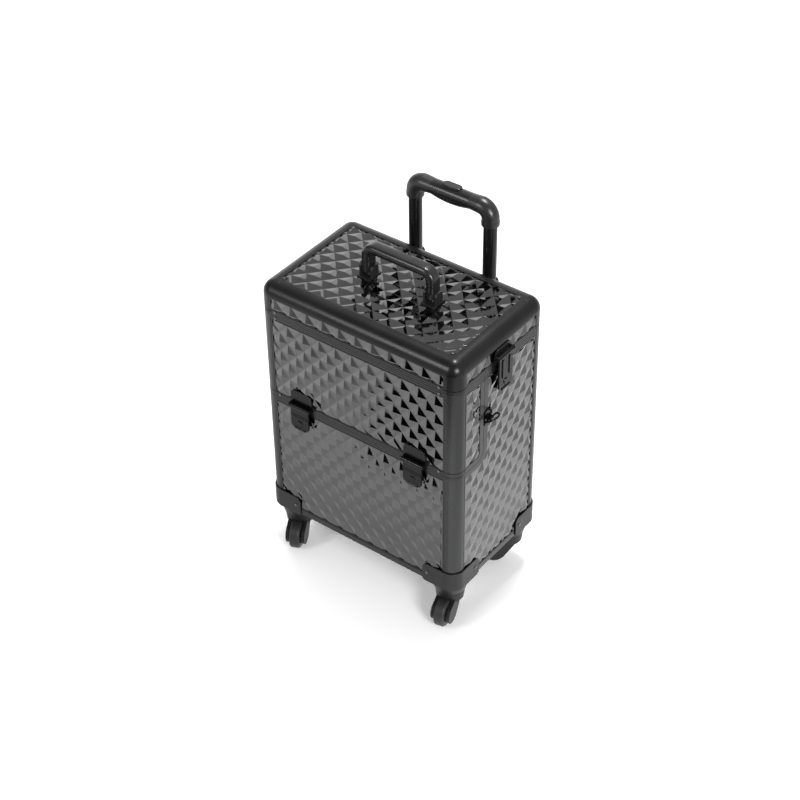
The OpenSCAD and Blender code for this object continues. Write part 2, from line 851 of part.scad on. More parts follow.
// Point where a line from p touches the circle round c, on its left or its right
function touch(p, c, r, side) =
    let (d = c - p, a = atan2(d[1], d[0]), b = side * asin(r / norm(d)))
    p + sqrt(d * d - r * r) * [cos(a + b), sin(a + b)];

// Side view of a fork's ear: x is the trail direction, y is the height
module ear_2d() {
    top = crown_low + 5;
    half_width = sqrt(pow(crown_r - crown_taper, 2) - pow(wheel_w / 2 + ear_gap + ear_t, 2));
    hub = [trail, axle_z];
    back = [-half_width, top];
    front = [half_width, top];
    translate(hub) circle(r = ear_r);
    polygon([back, touch(back, hub, ear_r, -1), hub, touch(front, hub, ear_r, 1), front]);
}

module at_caster(sx, sy, yaw) {
    translate([sx * swivel_x, sy * swivel_y, 0]) rotate([0, 0, yaw - 90]) children();
}

module fork(corner) color(plastic_black)
    at_caster(corner[1], corner[2], corner[3]) {
        difference() {
            translate([0, 0, crown_low])
                cylinder(r1 = crown_r - crown_taper, r2 = crown_r, h = crown_h);
            translate([trail, 0, axle_z]) rod_y(wheel_r + wheel_gap, wheel_w + 2 * ear_gap);
        }
        translate([0, 0, -neck_h - neck_gap - 1]) cylinder(r = stem_r, h = stem_h);
        for (s = [-1, 1])
            translate([0, s * (wheel_w / 2 + ear_gap + ear_t / 2) + ear_t / 2, 0])
                rotate([90, 0, 0]) linear_extrude(ear_t) ear_2d();
        translate([trail, 0, axle_z]) rod_y(axle_r, wheel_w + 2 * (ear_gap + ear_t));
    }

module wheel(corner) color(plastic_black)
    at_caster(corner[1], corner[2], corner[3]) translate([trail, 0, axle_z])
        rotate([90, 0, 0]) rotate_extrude() {
            bore = axle_r + pin_clear;
            translate([bore, -wheel_w / 2 - 0.6]) square([8 - bore, wheel_w + 1.2]);
            translate([bore, 3 - wheel_w / 2]) square([wheel_r - tyre_r - bore, wheel_w - 6]);
            translate([wheel_r - tyre_r - 5, -wheel_w / 2]) square([5, wheel_w]);
            translate([wheel_r - tyre_r, tyre_r - wheel_w / 2])
                square([tyre_r, wheel_w - 2 * tyre_r]);
            for (s = [-1, 1])
                translate([wheel_r - tyre_r, s * (wheel_w / 2 - tyre_r)]) circle(r = tyre_r);
        }

// Trays and runners

panel_in = panel_sink + panel_t;
runner_web = 3.5;
runner_w = 6;
tray_half_w = half_w - panel_in - runner_web - slide_gap - runner_w;
tray_y0 = rail_d - half_d;
tray_z = mid_z + 4;
runner_z = tray_z + 18;
upper_z = tray_z + tray_h - 8;

module tray(half_width, depth, height) {
    difference() {
        translate([-half_width, 0, 0]) cube([2 * half_width, depth, height]);
        translate([tray_t - half_width, tray_t, tray_t])
            cube([2 * (half_width - tray_t), depth - 2 * tray_t, height]);
    }
}

module lower_tray() color(tray_black)
    translate([0, tray_y0, tray_z]) {
        tray(tray_half_w, tray_d, tray_h);
        for (s = [-1, 1])
            translate([s * (tray_half_w - tray_t - 2) - 2, tray_t, tray_h - 12])
                cube([4, tray_d - 2 * tray_t, 4 - slide_gap]);
        translate([-tray_t / 2, tray_t, tray_t])
            cube([tray_t, tray_d - 2 * tray_t, tray_h - 20]);
    }

module upper_tray() color(tray_black) {
    half_width = tray_half_w - tray_t - slide_gap;
    translate([0, tray_y0 + tray_t + slide_gap, upper_z]) {
        tray(half_width, upper_tray_d, upper_tray_h);
        for (s = [-1, 1]) translate([s * half_width / 3 - tray_t / 2, tray_t, tray_t])
            cube([tray_t, upper_tray_d - 2 * tray_t, upper_tray_h - 12]);
    }
}

module tray_runners() color(rivet_grey)
    for (s = [0, 1]) mirror([s, 0, 0])
        translate([tray_half_w, tray_y0 + 20, runner_z])
            cube([runner_w, tray_d - 20, runner_h]);

module case_runners() color(rivet_grey)
    for (s = [0, 1]) mirror([s, 0, 0])
        translate([half_w - panel_in - runner_web, seam_y + rail_h, 0]) {
            length = half_d - rail_d - seam_y - rail_h;
            translate([0, 0, runner_z - 4]) cube([runner_web, length, runner_h + 8]);
            for (z = [runner_z - 4, runner_z + runner_h + slide_gap])
                translate([-4, 0, z]) cube([5, length, 4 - slide_gap]);
        }

// Rivets

module rivet() {
    cylinder(r = rivet_r, h = rivet_h);
}

module lid_rivets() color(rivet_grey) {
    for (sx = [-1, 1], sy = [-1, 1])
        translate([sx * (half_w - cap_reach), sy * (half_d - cap_reach), case_h]) rivet();
    for (sx = [-1, 1], sy = [-1, 1])
        translate([sx * (span_x / 2 - 7), sy * half_d, lid_z + rail_h / 2 + 1])
            rotate([-90 * sy, 0, 0]) rivet();
}

module section_rivets() color(rivet_grey)
    for (sx = [-1, 1], z = [mid_z + rail_h / 2 + 1, lid_z - rail_h / 2])
        translate([sx * (span_x / 2 - 7), -half_d, z]) rotate([90, 0, 0]) rivet();

module case_rivets() color(rivet_grey)
    for (sx = [-1, 1], sy = [-1, 1]) {
        translate([sx * (half_w - guard_reach + 9), sy * (half_d + guard_t), guard_h / 2])
            rotate([-90 * sy, 0, 0]) rivet();
        translate([sx * (half_w + guard_t), sy * (half_d - guard_reach + 9), guard_h / 2])
            rotate([0, 90 * sx, 0]) rivet();
    }

place() bottom_board();
place() bottom_frame();
place() front_lower_panel();
place() side_panel(-1);  // left_side_panel
place() side_panel(1);  // right_side_panel
place() rear_panel();
place() posts(-1, bottom_h, mid_z - lip_h);  // front_lower_posts
place() posts(1, bottom_h, lid_z - lip_h);  // rear_posts
place() body_rail();
place() body_top_rail();
place() corner_guards();
place() outer_tubes();
place() tube_brackets();
place() case_hinge_leaves();
place() case_runners();
place() front_catches();
place() side_catch();
place() ring_plates();
place() case_rivets();
place() lid_frame();
place() lid_corners();
place() lid_panel();
place() lid_bands();
place() lid_rail();
place() lid_hinge_leaves();
place() hinge_pins();
place() handle_brackets();
place() side_latch_plate();
place() lid_rivets();
place() carry_handle();
place() side_lever();
place() section_panel();
place() cheek(-1);  // left_cheek
place() cheek(1);  // right_cheek
place() posts(-1, mid_z + lip_h, lid_z - lip_h);  // section_posts
place() section_rail();
place() section_top_rail();
place() lower_tray();
place() tray_runners();
place() front_latch_plates();
place() section_rivets();
place() front_lever(-1);  // left_lever
place() front_lever(1);  // right_lever
place() upper_tray();
place() strap_ring(1);  // left_strap_ring
place() strap_ring(0);  // right_strap_ring
place() middle_tubes();
place() inner_tubes();
place() grip_elbows();
place() grip_shell();
place() grip_button();
place() fork(corner_yaws[0]);  // fork_fl
place() fork(corner_yaws[1]);  // fork_fr
place() fork(corner_yaws[2]);  // fork_rl
place() fork(corner_yaws[3]);  // fork_rr
place() wheel(corner_yaws[0]);  // wheel_fl
place() wheel(corner_yaws[1]);  // wheel_fr
place() wheel(corner_yaws[2]);  // wheel_rl
place() wheel(corner_yaws[3]);  // wheel_rr
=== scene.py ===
"""Looks of a rolling hard case: quilted panels, satin rails, latches, trolley and casters."""
from __future__ import annotations

import json
import logging
import math
from dataclasses import dataclass, field
from enum import Enum
from typing import Callable, Iterable, Optional

import bmesh
import bpy
from mathutils import Matrix, Vector

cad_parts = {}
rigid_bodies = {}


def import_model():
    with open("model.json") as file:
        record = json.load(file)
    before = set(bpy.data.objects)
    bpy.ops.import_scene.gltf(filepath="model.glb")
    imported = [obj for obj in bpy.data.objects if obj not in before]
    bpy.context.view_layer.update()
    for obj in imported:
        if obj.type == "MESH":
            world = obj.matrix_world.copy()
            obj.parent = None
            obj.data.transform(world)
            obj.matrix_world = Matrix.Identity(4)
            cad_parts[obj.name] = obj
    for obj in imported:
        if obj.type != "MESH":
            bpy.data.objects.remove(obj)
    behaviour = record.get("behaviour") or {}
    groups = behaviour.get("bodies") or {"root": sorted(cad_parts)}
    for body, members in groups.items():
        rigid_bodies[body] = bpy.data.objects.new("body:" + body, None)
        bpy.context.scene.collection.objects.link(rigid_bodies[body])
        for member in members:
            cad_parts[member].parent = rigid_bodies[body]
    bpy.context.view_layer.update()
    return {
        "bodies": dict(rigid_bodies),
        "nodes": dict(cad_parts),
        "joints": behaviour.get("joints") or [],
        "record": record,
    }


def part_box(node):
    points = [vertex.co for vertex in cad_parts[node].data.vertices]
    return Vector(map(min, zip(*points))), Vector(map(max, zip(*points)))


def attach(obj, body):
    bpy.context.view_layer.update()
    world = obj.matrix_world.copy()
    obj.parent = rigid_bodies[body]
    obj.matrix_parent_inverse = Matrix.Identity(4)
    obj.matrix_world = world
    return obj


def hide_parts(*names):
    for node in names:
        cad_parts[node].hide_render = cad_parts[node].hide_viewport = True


LOG = logging.getLogger("case")
MM = 0.001
# The quilt's diamonds, across and up
LATTICE_U = 30.0
LATTICE_V = 33.0
# The middles of the rounded corners, and how far past them a rail's outer face begins
CORNER_X = 160.0
CORNER_Y = 90.0
OUTER_SKIN = 18.6
# How far the quilt's tips stand from the middle of the case, and on the lid from its underside
FRONT_SHEET = 111.1
SIDE_SHEET = 181.1
LID_SHEET = 430.0
# In metres: points closer than this are one, and a face narrower than this is none
WELD = 2e-6
SLIVER = 1e-6
# In degrees: copied faces that meet flatter than this are one, and blunter edges look smooth
FLAT_ANGLE = 0.4
SOFT_ANGLE = 35.0
# A channel's faces: how far their normals may lean along its axis, and must point outward
LEAN_LIMIT = 0.3
OUTWARD_LIMIT = 0.6
# The part of a noise node's values that a finish uses
NOISE_RANGE = (0.3, 0.7)
WHITE = (1, 1, 1, 1)
# What the lamps face, in metres
CASE_MIDDLE = Vector((0, 0, 0.3))


class Face(Enum):
    """The outer face that a sheet lies on, as the turn from a sheet lying flat."""

    FRONT = Matrix(((1, 0, 0, 0), (0, 0, -1, 0), (0, 1, 0, 0), (0, 0, 0, 1)))
    REAR = Matrix(((-1, 0, 0, 0), (0, 0, 1, 0), (0, 1, 0, 0), (0, 0, 0, 1)))
    RIGHT = Matrix(((0, 0, 1, 0), (1, 0, 0, 0), (0, 1, 0, 0), (0, 0, 0, 1)))
    LEFT = Matrix(((0, 0, -1, 0), (-1, 0, 0, 0), (0, 1, 0, 0), (0, 0, 0, 1)))
    TOP = Matrix.Identity(4)


class Slot(Enum):
    """The record's material slots.

    A longer name is a finish of its own in the slot that its first word names.
    """

    FRAME = "frame"
    POST = "frame_drawn"
    BULLNOSE = "frame_lid"
    PANEL = "panel"
    LINING = "panel_lining"
    BOARD = "board"
    GUARD = "guard"
    FORK = "guard_fork"
    LATCH = "latch"
    SIDE_LATCH = "latch_dark"
    HINGE = "hinge"
    TUBE = "tube"
    TRAY = "tray"
    RUNNER = "runner"
    RIVET = "rivet"
    GRIP = "grip"
    ELBOW = "grip_matt"
    WHEEL = "wheel"


def node_material(name: str) -> bpy.types.Material:
    """Makes a material that uses nodes."""
    material = bpy.data.materials.new(name)
    material.use_nodes = True
    return material


def ranged(nodes: bpy.types.Nodes, source: tuple[float, float],
           target: tuple[float, float]) -> bpy.types.Node:
    """Adds a node that carries one range of values over to another.

    Args:
        nodes: The nodes of a tree.
        source: Where the values that come in begin and end.
        target: Where the values that go out begin and end.

    Returns:
        The node.
    """
    node = nodes.new("ShaderNodeMapRange")
    for name, value in zip(("From Min", "From Max", "To Min", "To Max"), (*source, *target)):
        node.inputs[name].default_value = value
    return node


def plain_white(nodes: bpy.types.Nodes, kind: str, strength: float = 1.0) -> bpy.types.Node:
    """Adds an emission or background node of plain white.

    Args:
        nodes: The nodes of a tree.
        kind: The node's type.
        strength: How bright it is.

    Returns:
        The node.
    """
    node = nodes.new(kind)
    node.inputs["Color"].default_value = WHITE
    node.inputs["Strength"].default_value = strength
    return node


def mixed(tree: bpy.types.NodeTree, factor: bpy.types.NodeSocket, first: bpy.types.NodeSocket,
          second: bpy.types.NodeSocket) -> bpy.types.NodeSocket:
    """Mixes two shaders.

    Args:
        tree: The node tree.
        factor: Zero for the first shader and one for the second.
        first: A shader.
        second: The other shader.

    Returns:
        The mixed shader.
    """
    mix = tree.nodes.new("ShaderNodeMixShader")
    for socket, source in zip(mix.inputs, (factor, first, second)):
        tree.links.new(source, socket)
    return mix.outputs["Shader"]


@dataclass(frozen=True)
class Finish:
    """One procedural finish.

    Grain is a fine noise that lifts the surface, and drift is a slow noise that changes
    the gloss. Stretch draws both out along one axis, as on drawn or brushed metal.
    """

    slot: Slot
    colour: tuple[float, float, float]
    metallic: float
    roughness: float
    drift: float = 0.06
    drift_scale: float = 14.0
    grain: float = 0.1
    grain_scale: float = 900.0
    grain_depth: float = 0.00006
    stretch: tuple[float, float, float] = (1.0, 1.0, 1.0)
    tint: float = 0.15
    specular: float = 0.5

    def build(self) -> bpy.types.Material:
        """Makes the node material.

        Returns:
            The material, with its pattern on Object coordinates.
        """
        material = node_material(self.slot.value)
        nodes, links = material.node_tree.nodes, material.node_tree.links
        shader = nodes["Principled BSDF"]
        shader.inputs["Metallic"].default_value = self.metallic
        shader.inputs["Specular IOR Level"].default_value = self.specular
        where = nodes.new("ShaderNodeTexCoord")
        turn = nodes.new("ShaderNodeMapping")
        turn.inputs["Scale"].default_value = self.stretch
        links.new(where.outputs["Object"], turn.inputs["Vector"])

        slow = nodes.new("ShaderNodeTexNoise")
        slow.inputs["Scale"].default_value = self.drift_scale
        slow.inputs["Detail"].default_value = 4.0
        links.new(turn.outputs["Vector"], slow.inputs["Vector"])
        fine = nodes.new("ShaderNodeTexNoise")
        fine.inputs["Scale"].default_value = self.grain_scale
        fine.inputs["Detail"].default_value = 2.0
        links.new(turn.outputs["Vector"], fine.inputs["Vector"])

        gloss = ranged(nodes, NOISE_RANGE, (max(0.02, self.roughness - self.drift),
                                            min(1.0, self.roughness + self.drift)))
        links.new(slow.outputs["Fac"], gloss.inputs["Value"])
        links.new(gloss.outputs["Result"], shader.inputs["Roughness"])

        ramp = nodes.new("ShaderNodeValToRGB")
        dark = tuple(c * (1.0 - self.tint) for c in self.colour)
        light = tuple(min(1.0, c * (1.0 + self.tint)) for c in self.colour)
        for stop, place, colour in zip(ramp.color_ramp.elements, NOISE_RANGE, (dark, light)):
            stop.position = place
            stop.color = (*colour, 1.0)
        links.new(slow.outputs["Fac"], ramp.inputs["Fac"])
        links.new(ramp.outputs["Color"], shader.inputs["Base Color"])

        bump = nodes.new("ShaderNodeBump")
        bump.inputs["Strength"].default_value = self.grain
        bump.inputs["Distance"].default_value = self.grain_depth
        links.new(fine.outputs["Fac"], bump.inputs["Height"])
        links.new(bump.outputs["Normal"], shader.inputs["Normal"])
        return material


# How far the noise is drawn out on the posts
DRAWN = (1.0, 1.0, 0.01)

# Slot, colour, metallic, roughness, drift and its scale, then grain, its scale and its depth
FINISHES: dict[Slot, Finish] = {
    finish.slot: finish
    for finish in (
        Finish(Slot.PANEL, (0.13, 0.13, 0.132), 1.0, 0.065, 0.015, 30.0,
               0.05, 260.0, 0.00004, tint=0.05),
        Finish(Slot.FRAME, (0.05, 0.0505, 0.052), 0.9, 0.31, 0.03, 20.0,
               0.12, 1400.0, tint=0.06),
        Finish(Slot.POST, (0.055, 0.0555, 0.057), 0.9, 0.33, 0.04, 60.0,
               0.8, 420.0, 0.0004, stretch=DRAWN, tint=0.1),
        Finish(Slot.LINING, (0.022, 0.022, 0.0225), 0.0, 0.75, 0.05, 40.0,
               0.5, 1100.0, 0.0002, specular=0.2),
        Finish(Slot.BULLNOSE, (0.03, 0.03, 0.0312), 0.85, 0.33, 0.03, 20.0,
               0.12, 1400.0, tint=0.06),
        Finish(Slot.BOARD, (0.04, 0.04, 0.04), 0.0, 0.7),
        Finish(Slot.GUARD, (0.012, 0.012, 0.0124), 0.0, 0.42, 0.05, 25.0,
               0.15, 1500.0, specular=0.32),
        Finish(Slot.FORK, (0.009, 0.009, 0.0093), 0.0, 0.5, 0.05, 25.0,
               0.15, 1500.0, specular=0.25),
        Finish(Slot.LATCH, (0.02, 0.02, 0.0206), 0.9, 0.22, 0.05, 25.0, 0.08, 1200.0),
        Finish(Slot.SIDE_LATCH, (0.007, 0.007, 0.0073), 0.0, 0.25, 0.05, 25.0,
               0.08, 1200.0, specular=0.2),
        Finish(Slot.HINGE, (0.03, 0.03, 0.031), 0.6, 0.38, 0.05, 25.0),
        Finish(Slot.TUBE, (0.006, 0.006, 0.0062), 0.0, 0.16, 0.03, 18.0,
               0.3, 500.0, stretch=(1.0, 1.0, 0.02), specular=0.3),
        Finish(Slot.TRAY, (0.03, 0.03, 0.031), 0.0, 0.6, 0.05, 12.0, 0.3, 1300.0),
        Finish(Slot.RUNNER, (0.5, 0.5, 0.5), 1.0, 0.35, 0.06, 20.0, 0.1, 900.0,
               stretch=(1.0, 0.08, 1.0)),
        Finish(Slot.RIVET, (0.16, 0.16, 0.165), 1.0, 0.3),
        Finish(Slot.GRIP, (0.008, 0.008, 0.0083), 0.0, 0.26, 0.05, 22.0,
               0.12, 1500.0, specular=0.6),
        Finish(Slot.ELBOW, (0.012, 0.012, 0.0123), 0.0, 0.34, 0.05, 22.0,
               0.2, 1500.0, specular=0.6),
        Finish(Slot.WHEEL, (0.014, 0.014, 0.014), 0.0, 0.5, 0.06, 30.0, 0.2, 1100.0),
    )
}


def only(obj: bpy.types.Object) -> None:
    """Makes one object the only one that is selected and active.

    Args:
        obj: The object to work on.
    """
    bpy.ops.object.select_all(action="DESELECT")
    obj.hide_set(False)
    obj.select_set(True)
    bpy.context.view_layer.objects.active = obj


def edit(obj: bpy.types.Object, everything: bool = True) -> bmesh.types.BMesh:
    """Starts edit mode on one object.

    Args:
        obj: The object to edit.
        everything: Whether all of its mesh starts selected.

    Returns:
        The edit mesh, for choosing faces and edges by their place.
    """
    only(obj)
    bpy.ops.object.mode_set(mode="EDIT")
    bpy.ops.mesh.select_mode(type="VERT")
    bpy.ops.mesh.select_all(action="SELECT" if everything else "DESELECT")
    return bmesh.from_edit_mesh(obj.data)


def done() -> None:
    """Leaves edit mode."""
    bpy.ops.object.mode_set(mode="OBJECT")


def choose_faces(obj: bpy.types.Object, test: Callable[[bmesh.types.BMFace], bool]) -> int:
    """Selects the faces that pass a test, in face mode.

    Args:
        obj: An object in edit mode.
        test: Says whether a face is wanted.

    Returns:
        How many faces are selected.
    """
    bpy.ops.mesh.select_mode(type="FACE")
    bpy.ops.mesh.select_all(action="DESELECT")
    bm = bmesh.from_edit_mesh(obj.data)
    count = 0
    for face in bm.faces:
        if test(face):
            face.select_set(True)
            count += 1
    bm.select_flush_mode()
    bmesh.update_edit_mesh(obj.data)
    return count


def apply_modifier(obj: bpy.types.Object, kind: str, **values: object) -> None:
    """Adds a modifier with these values and applies it.

    Args:
        obj: The object it goes on.
        kind: The modifier's type.
        values: Its settings by name.
    """
    only(obj)
    modifier = obj.modifiers.new(kind.lower(), kind)
    for name, value in values.items():
        setattr(modifier, name, value)
    bpy.ops.object.modifier_apply(modifier=modifier.name)


def smooth(obj: bpy.types.Object, degrees: float = SOFT_ANGLE) -> None:
    """Shades an object smooth, apart from edges sharper than an angle.

    Args:
        obj: The object to shade.
        degrees: The sharpest edge that still looks smooth.
    """
    only(obj)
    bpy.ops.object.shade_smooth_by_angle(angle=math.radians(degrees))


def settle(obj: bpy.types.Object) -> None:
    """Puts the object's place, turn and size into its mesh."""
    only(obj)
    bpy.ops.object.transform_apply(location=True, rotation=True, scale=True)


def new_plane(name: str, size: float, place: tuple[float, float, float] = (0, 0, 0),
              turn: tuple[float, float, float] = (0, 0, 0)) -> bpy.types.Object:
    """Adds a square plane.

    Args:
        name: The object's name.
        size: The length of its sides.
        place: The place of its middle.
        turn: Its turn about the three axes.

    Returns:
        The plane.
    """
    bpy.ops.object.select_all(action="DESELECT")
    bpy.ops.mesh.primitive_plane_add(size=size, location=place, rotation=turn)
    obj = bpy.context.active_object
    obj.name = name
    obj.data.name = name
    return obj


@dataclass
class Workshop:
    """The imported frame, and what every sub-assembly needs from it."""

    nodes: dict[str, bpy.types.Object]
    body_of: dict[str, str]
    materials: dict[Slot, bpy.types.Material] = field(default_factory=dict)
    centre_y: float = 0.0
    lift: float = 0.0

    @classmethod
    def from_frame(cls, frame: dict) -> "Workshop":
        """Reads the frame's nodes and the case's place in it.


        Returns:
            The workshop.
        """
        body_of = {
            node: body
            for body, nodes in frame["record"]["behaviour"]["bodies"].items()
            for node in nodes
        }
        low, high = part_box("bottom_frame")
        shop = cls(frame["nodes"], body_of)
        shop.centre_y = (low.y + high.y) / 2
        shop.lift = low.z
        shop.materials = {slot: finish.build() for slot, finish in FINISHES.items()}
        return shop

    def at(self, x: float, y: float, z: float) -> Vector:
        """A point of the case, in millimetres from the middle of its underside."""
        return Vector((x * MM, y * MM + self.centre_y, z * MM + self.lift))

    def finish(self, obj: bpy.types.Object, slot: Slot, body: str,
               *replaced: str) -> bpy.types.Object:
        """Gives a piece its material and body, and reports it.

        Args:
            obj: The finished piece.
            slot: Its material slot.
            body: The body that it rides on.
            replaced: The CAD nodes that it stands for.

        Returns:
            The same piece.
        """
        obj.data.materials.clear()
        obj.data.materials.append(self.materials[slot])
        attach(obj, body)
        if replaced:
            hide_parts(*replaced)
        LOG.info("%s: %d faces on %s", obj.name, len(obj.data.polygons), body)
        return obj

    def copy_of(self, name: str, *nodes: str) -> bpy.types.Object:
        """Copies CAD nodes into one merged mesh.

        Args:
            name: The new piece's name.
            nodes: The nodes to copy.

        Returns:
            The new object.
        """
        copies = []
        for node in nodes:
            copy = self.nodes[node].copy()
            copy.data = self.nodes[node].data.copy()
            copy.parent = None
            copy.hide_render = False
            copy.hide_viewport = False
            for key in [k for k in copy.keys() if k.startswith("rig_")]:
                del copy[key]
            bpy.context.scene.collection.objects.link(copy)
            copies.append(copy)
        bpy.context.view_layer.update()
        only(copies[0])
        for copy in copies:
            copy.select_set(True)
        if len(copies) > 1:
            bpy.ops.object.join()
        obj = bpy.context.view_layer.objects.active
        obj.name = name
        obj.data.name = name
        only(obj)
        if obj.data.has_custom_normals:
            bpy.ops.mesh.customdata_custom_splitnormals_clear()
        edit(obj)
        bpy.ops.mesh.remove_doubles(threshold=WELD)
        bpy.ops.mesh.dissolve_limited(angle_limit=math.radians(FLAT_ANGLE))
        done()
        return obj


@dataclass
class Softened:
    """CAD nodes whose shape is right, with their sharp edges broken as on the real piece.

    The width of the broken edges is in millimetres. Edges blunter than the angle stay.
    """

    name: str
    nodes: tuple[str, ...]
    slot: Slot
    width: float = 0.5
    segments: int = 2
    angle: float = 30.0

    def shape(self, obj: bpy.types.Object, shop: Workshop) -> None:
        """Leaves the copy's shape as it is; a drawn rail cuts its channels here."""

    def build(self, shop: Workshop) -> bpy.types.Object:
        """Copies the nodes, rounds their edges and dresses them.

        Args:
            shop: The workshop.

        Returns:
            The finished piece.
        """
        obj = shop.copy_of(self.name, *self.nodes)
        self.shape(obj, shop)
        apply_modifier(obj, "BEVEL", width=self.width * MM, segments=self.segments,
                       limit_method="ANGLE", angle_limit=math.radians(self.angle),
                       use_clamp_overlap=True, miter_outer="MITER_ARC")
        # A bevel that is held back by its neighbours leaves faces of no area
        edit(obj)
        bpy.ops.mesh.remove_doubles(threshold=SLIVER)
        bpy.ops.mesh.dissolve_degenerate(threshold=SLIVER)
        done()
        smooth(obj)
        apply_modifier(obj, "WEIGHTED_NORMAL", keep_sharp=True, weight=60)
        return shop.finish(obj, self.slot, shop.body_of[self.nodes[0]], *self.nodes)


@dataclass(frozen=True)
class Groove:
    """A fine channel pressed into the outer face of a rail or post.

    It runs square to an axis, between two places along it in millimetres. The faces that it
    takes in have their middles inside the region, also in millimetres.
    """

    axis: int
    low: float
    high: float
    region_low: tuple[float, float, float] = (-190.0, -120.0, -10.0)
    region_high: tuple[float, float, float] = (190.0, 120.0, 440.0)
    depth: float = 1.2


@dataclass
class Grooved(Softened):
    """A drawn rail or post: softened edges, and the channels that run along it."""

    grooves: tuple[Groove, ...] = ()

    def press(self, obj: bpy.types.Object, shop: Workshop, groove: Groove) -> None:
        """Cuts one channel into the outer faces.

        Args:
            obj: The rail.
            shop: The workshop.
            groove: The channel.
        """
        normal = [0.0, 0.0, 0.0]
        normal[groove.axis] = 1.0
        edit(obj)
        for place in (groove.low, groove.high):
            point = [0.0, 0.0, 0.0]
            point[groove.axis] = place
            bpy.ops.mesh.select_all(action="SELECT")
            bpy.ops.mesh.bisect(plane_co=shop.at(*point), plane_no=normal)

        def inside(face: bmesh.types.BMFace) -> bool:
            """Says whether a face is in the channel's place and looks outward."""
            middle = (face.calc_center_median() - shop.at(0, 0, 0)) / MM
            if not groove.low < middle[groove.axis] < groove.high:
                return False
            if not all(a <= m <= b for a, m, b in
                       zip(groove.region_low, middle, groove.region_high)):
                return False
            if abs(face.normal[groove.axis]) > LEAN_LIMIT:
                return False
            past = Vector((max(abs(middle.x) - CORNER_X, 0), max(abs(middle.y) - CORNER_Y, 0)))
            outward = Vector((math.copysign(past.x, middle.x),
                              math.copysign(past.y, middle.y), 0))
            faces_out = face.normal.dot(outward.normalized()) > OUTWARD_LIMIT
            return past.length > OUTER_SKIN and faces_out

        if choose_faces(obj, inside):
            bpy.ops.mesh.extrude_region_shrink_fatten(
                TRANSFORM_OT_shrink_fatten={"value": -groove.depth * MM})
        done()

    def shape(self, obj: bpy.types.Object, shop: Workshop) -> None:
        """Cuts every channel before the edges are rounded."""
        for groove in self.grooves:
            self.press(obj, shop, groove)


@dataclass
class RoundedHandle(Softened):
    """The carry handle with the well rounded section of a moulded grip.

    The section runs along the handle's own path inside the CAD piece, which gives it the
    eyes round its pins. Sizes are in millimetres.
    """

    leg_x: float = 58.0
    foot_z: float = 416.0
    bar_z: float = 480.25
    bend: float = 14.0
    across: float = 15.46
    deep: float = 21.96
    edge: float = 6.4
    edge_steps: int = 7
    bend_steps: int = 10

    def path(self) -> bpy.types.Object:
        """Draws the section along the handle's path.

        Returns:
            The swept solid, with its points in millimetres.
        """
        obj = new_plane(self.name, 1, (-self.leg_x, 0, self.foot_z))
        obj.scale = (self.across, self.deep, 1)
        settle(obj)
        edit(obj)
        bpy.ops.mesh.bevel(offset=self.edge, segments=self.edge_steps, affect="VERTICES")
        straight = self.bar_z - self.bend - self.foot_z
        inner = self.leg_x - self.bend
        bpy.ops.mesh.select_all(action="SELECT")
        bpy.ops.mesh.extrude_region_move(TRANSFORM_OT_translate={"value": (0, 0, straight)})
        for side, move in ((-1, (2 * inner, 0, 0)), (1, (0, 0, -straight))):
            bpy.ops.mesh.spin(steps=self.bend_steps, angle=math.radians(-90), axis=(0, 1, 0),
                              center=(side * inner, 0, self.bar_z - self.bend))
            bpy.ops.mesh.extrude_region_move(TRANSFORM_OT_translate={"value": move})
        bpy.ops.mesh.select_all(action="SELECT")
        bpy.ops.mesh.remove_doubles(threshold=WELD / MM)
        bpy.ops.mesh.normals_make_consistent(inside=False)
        done()
        return obj

    def build(self, shop: Workshop) -> bpy.types.Object:
        """Sweeps the section, keeps what lies inside the CAD piece and dresses it.

        Args:
            shop: The workshop.

        Returns:
            The finished handle.
        """
        outline = shop.copy_of("handle_outline", *self.nodes)
        obj = self.path()
        obj.matrix_world = Matrix.Translation(shop.at(0, 0, 0)) @ Matrix.Diagonal((MM, MM, MM, 1))
        settle(obj)
        apply_modifier(obj, "BOOLEAN", operation="INTERSECT", solver="EXACT", object=outline)
        bpy.data.objects.remove(outline, do_unlink=True)
        smooth(obj)
        return shop.finish(obj, self.slot, shop.body_of[self.nodes[0]], *self.nodes)


